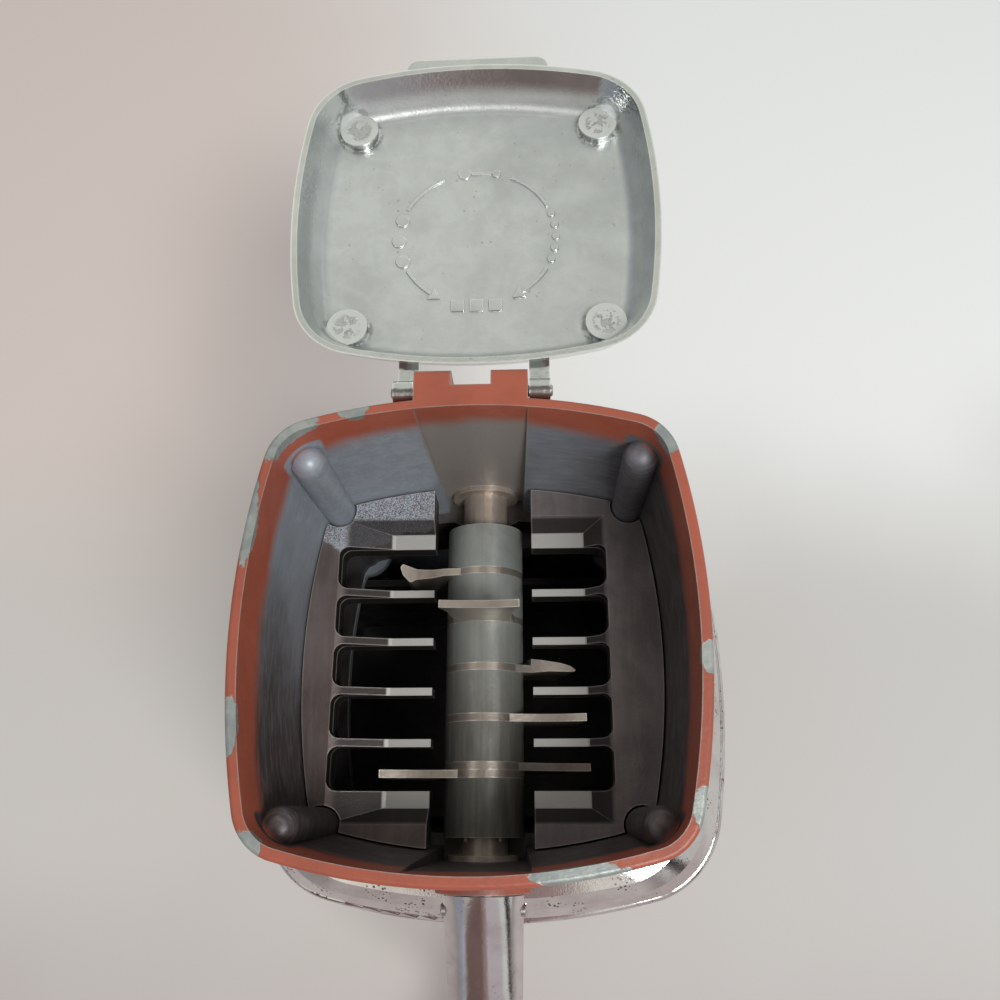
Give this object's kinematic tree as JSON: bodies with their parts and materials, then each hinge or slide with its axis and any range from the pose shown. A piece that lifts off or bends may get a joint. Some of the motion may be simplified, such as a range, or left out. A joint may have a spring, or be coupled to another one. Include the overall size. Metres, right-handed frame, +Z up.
{
  "type": "hand crank ice crusher",
  "caption": "Table-top ice crusher: cast hopper with hinged lid, slotted grates and bladed crank shaft over a body with a pull-out ice receiver.",
  "frame": {"origin": "on the table, under the middle of the hopper, level with the underside of the foot ring", "axes": "+Z up, -Y towards the crank, +Y towards the hinge and the open lid, -X the way the receiver pulls out"},
  "size_m": [0.1646, 0.3058, 0.2],
  "materials": {
    "red_paint": "worn gloss",
    "lid_cast": "matt cast",
    "grate_cast": "worn cast",
    "zinc": "dull zinc",
    "blade_steel": "worn nickel",
    "bronze": "dull bronze",
    "chrome": "pitted chrome",
    "body_paint": "worn gloss",
    "plate_steel": "black paint",
    "foot_rubber": "matt",
    "tray_plastic": "worn gloss",
    "screw_steel": "zinc plated",
    "knob_plastic": "gloss"
  },
  "bodies": {
    "base": {"hopper": "red_paint", "hinge_pin": "screw_steel", "grate_coarse": "grate_cast", "grate_fine": "grate_cast", "mill_frame": "zinc", "bush_front": "bronze", "bush_rear": "bronze", "shoulder_cover": "chrome", "lower_housing": "body_paint", "body_screws": "screw_steel", "base_plate": "plate_steel", "foot_ring": "foot_rubber", "base_screws": "screw_steel"},
    "crank": {"crank_shaft": "bronze", "blade_spacers": "zinc", "ice_blade_1": "blade_steel", "ice_blade_2": "blade_steel", "ice_blade_3": "blade_steel", "ice_blade_4": "blade_steel", "ice_blade_5": "blade_steel", "ice_blade_6": "blade_steel", "crank_arm": "chrome", "hub_pin": "screw_steel", "knob_pin": "chrome"},
    "knob": {"crank_knob": "knob_plastic"},
    "lid": {"lid": "lid_cast"},
    "receiver": {"receiver": "tray_plastic", "receiver_pull": "chrome", "pull_screws": "screw_steel"}
  },
  "joints": [
    {"name": "lid_hinge", "type": "hinge", "parent": "base", "child": "lid", "pos_m": [0, 0.0562, 0.195], "axis": [1, 0, 0], "range_deg": [0, 180]},
    {"name": "crank_turn", "type": "hinge", "parent": "base", "child": "crank", "pos_m": [0, 0, 0.1385], "axis": [0, 1, 0], "continuous": true},
    {"name": "knob_spin", "type": "hinge", "parent": "crank", "child": "knob", "pos_m": [0, -0.12, 0.0485], "axis": [0, 1, 0], "continuous": true},
    {"name": "receiver_slide", "type": "slide", "parent": "base", "child": "receiver", "axis": [-1, 0, 0], "range_m": [0, 0.11]}
  ]
}
